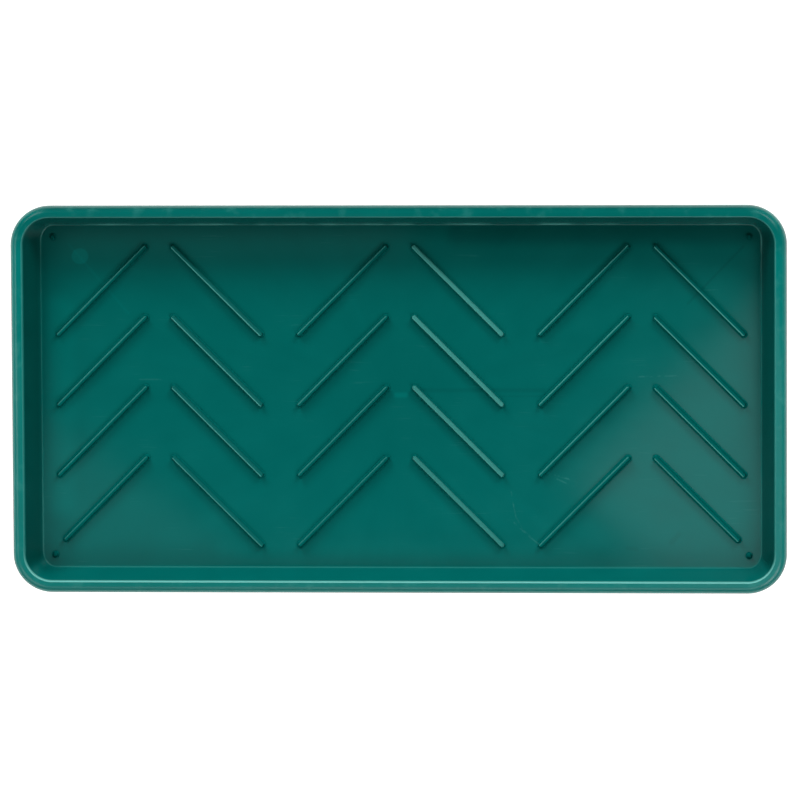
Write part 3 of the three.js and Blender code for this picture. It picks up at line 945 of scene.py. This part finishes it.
class TRAY_OT_mould_pips(bpy.types.Operator):
    """Moulds the round pips in the corners of the floor"""

    bl_idname = "tray.mould_pips"
    bl_label = "Mould the corner pips"
    bl_options = {"REGISTER", "UNDO"}

    def execute(self, context):
        sizes = context.scene.tray_boss_sizes
        low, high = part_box(PIP_NODES[0])
        form = (high.x - low.x, sizes.pip_top, sizes.pip_edge, sizes.root_fillet)
        mould_bosses("corner_pips", PIP_NODES, *form, [PIP_HIGHLIGHT] * len(PIP_NODES))
        return {"FINISHED"}


def softbox_place(azimuth, elevation):
    """A softbox's place, with the azimuth from +X and the elevation in degrees."""
    turn, rise = math.radians(azimuth), math.radians(elevation)
    level = math.cos(rise)
    return SOFTBOX_DISTANCE * Vector((level * math.cos(turn), level * math.sin(turn), math.sin(rise)))


def panel_light(name, place, width, depth, radiance):
    """A rectangular light of an even radiance, facing straight down and hidden from the camera."""
    light = bpy.data.lights.new(name, "AREA")
    light.shape = "RECTANGLE"
    light.size, light.size_y = width, depth
    light.energy = math.pi * width * depth * radiance
    lamp = new_object(name, light)
    lamp.location = place
    lamp.visible_camera = False
    return lamp


class TRAY_OT_set_stage(bpy.types.Operator):
    """Lays the white floor, and sets the soft lights and the camera"""

    bl_idname = "tray.set_stage"
    bl_label = "Set the stage"
    bl_options = {"REGISTER", "UNDO"}

    def execute(self, context):
        self.floor(context.scene.tray_finish)
        self.world(context.scene)
        self.lights()
        self.camera(context.scene)
        context.scene.view_settings.view_transform = "Standard"
        return {"FINISHED"}

    def floor(self, finish):
        """A wide floor that glows, so that it shows as plain white."""
        half = FLOOR_SPAN / 2
        corners = [(-half, -half, 0), (half, -half, 0), (half, half, 0), (-half, half, 0)]
        mesh = bpy.data.meshes.new("stage_floor")
        mesh.from_pydata(corners, [], [(0, 1, 2, 3)])
        material = bpy.data.materials.new("White studio floor")
        material.use_nodes = True
        inputs = material.node_tree.nodes[SHADER].inputs
        inputs["Base Color"].default_value = finish.floor
        inputs["Roughness"].default_value = FLOOR_ROUGHNESS
        inputs["Emission Color"].default_value = finish.floor
        inputs["Emission Strength"].default_value = FLOOR_GLOW
        mesh.materials.append(material)
        new_object("stage_floor", mesh)

    def world(self, scene):
        """Pale walls all round that fade into a dark ceiling."""
        world = bpy.data.worlds.new("Soft studio")
        world.use_nodes = True
        tree = world.node_tree
        direction = node(tree, COORDINATES).outputs["Generated"]
        height = node(tree, SEPARATE, (direction,)).outputs["Z"]
        fade = node(tree, MAP_RANGE, (height, *WALL_FADE, WALL_GLOW, 0.0), **SMOOTH)
        backdrop = tree.nodes["Background"]
        backdrop.inputs["Color"].default_value = (1, 1, 1, 1)
        tree.links.new(fade.outputs[0], backdrop.inputs["Strength"])
        scene.world = world

    def lights(self):
        """Softboxes all round, strongest behind the tray, and panels for the sheen of its plastic."""
        for name, (azimuth, elevation, *form) in SOFTBOXES.items():
            place = softbox_place(azimuth, elevation)
            lamp = panel_light(name, place, *form)
            lamp.rotation_euler = (-place).to_track_quat("-Z", "Y").to_euler()
            lamp.visible_glossy = name not in UNSEEN_SOFTBOXES
        for name, (along, across, height, tilt, turn, *form) in SHEEN_PANELS.items():
            lamp = panel_light(name, (along, across, height), *form)
            lamp.rotation_euler = (math.radians(tilt), 0, math.radians(turn))
            lamp.visible_diffuse = False

    def camera(self, scene):
        """A long lens far above the tray, a little behind its middle and to the right."""
        data = bpy.data.cameras.new("Camera")
        data.sensor_width = SENSOR_WIDTH
        data.lens = CAMERA_LENS
        data.clip_end = CAMERA_REACH
        camera = new_object("camera", data)
        back = (CAMERA_PLACE - CAMERA_TARGET).normalized()
        right = Vector((0, 1, 0)).cross(back).normalized()
        turn = Matrix((right, back.cross(right), back)).transposed()
        turn = turn @ Matrix.Rotation(CAMERA_ROLL, 3, "Z")
        camera.matrix_world = Matrix.Translation(CAMERA_PLACE) @ turn.to_4x4()
        scene.camera = camera


class TRAY_PT_sidebar(bpy.types.Panel):
    """Lists the steps that build the tray, in order"""

    bl_idname = "TRAY_PT_sidebar"
    bl_label = "Drainage tray"
    bl_space_type = "VIEW_3D"
    bl_region_type = "UI"
    bl_category = "Tray"

    def draw(self, context):
        for step in STEPS:
            self.layout.operator(step.bl_idname)
        for group in GROUPS:
            settings = getattr(context.scene, group)
            for name in settings.__annotations__:
                self.layout.prop(settings, name)


STEPS = (TRAY_OT_mould_shell, TRAY_OT_mould_ribs, TRAY_OT_mould_pips, TRAY_OT_set_stage)
GROUPS = {"tray_shell_sizes": TrayShellSizes, "tray_boss_sizes": TrayBossSizes, "tray_finish": TrayFinish}
CLASSES = (*GROUPS.values(), *STEPS, TRAY_PT_sidebar)


def register():
    for made in CLASSES:
        bpy.utils.register_class(made)
    for name, group in GROUPS.items():
        setattr(bpy.types.Scene, name, PointerProperty(type=group))


def unregister():
    for name in GROUPS:
        delattr(bpy.types.Scene, name)
    for made in reversed(CLASSES):
        bpy.utils.unregister_class(made)


def main():
    register()
    bpy.ops.tray.mould_shell()
    bpy.ops.tray.mould_ribs()
    bpy.ops.tray.mould_pips()
    bpy.ops.tray.set_stage()


if __name__ == "__main__":
    main()
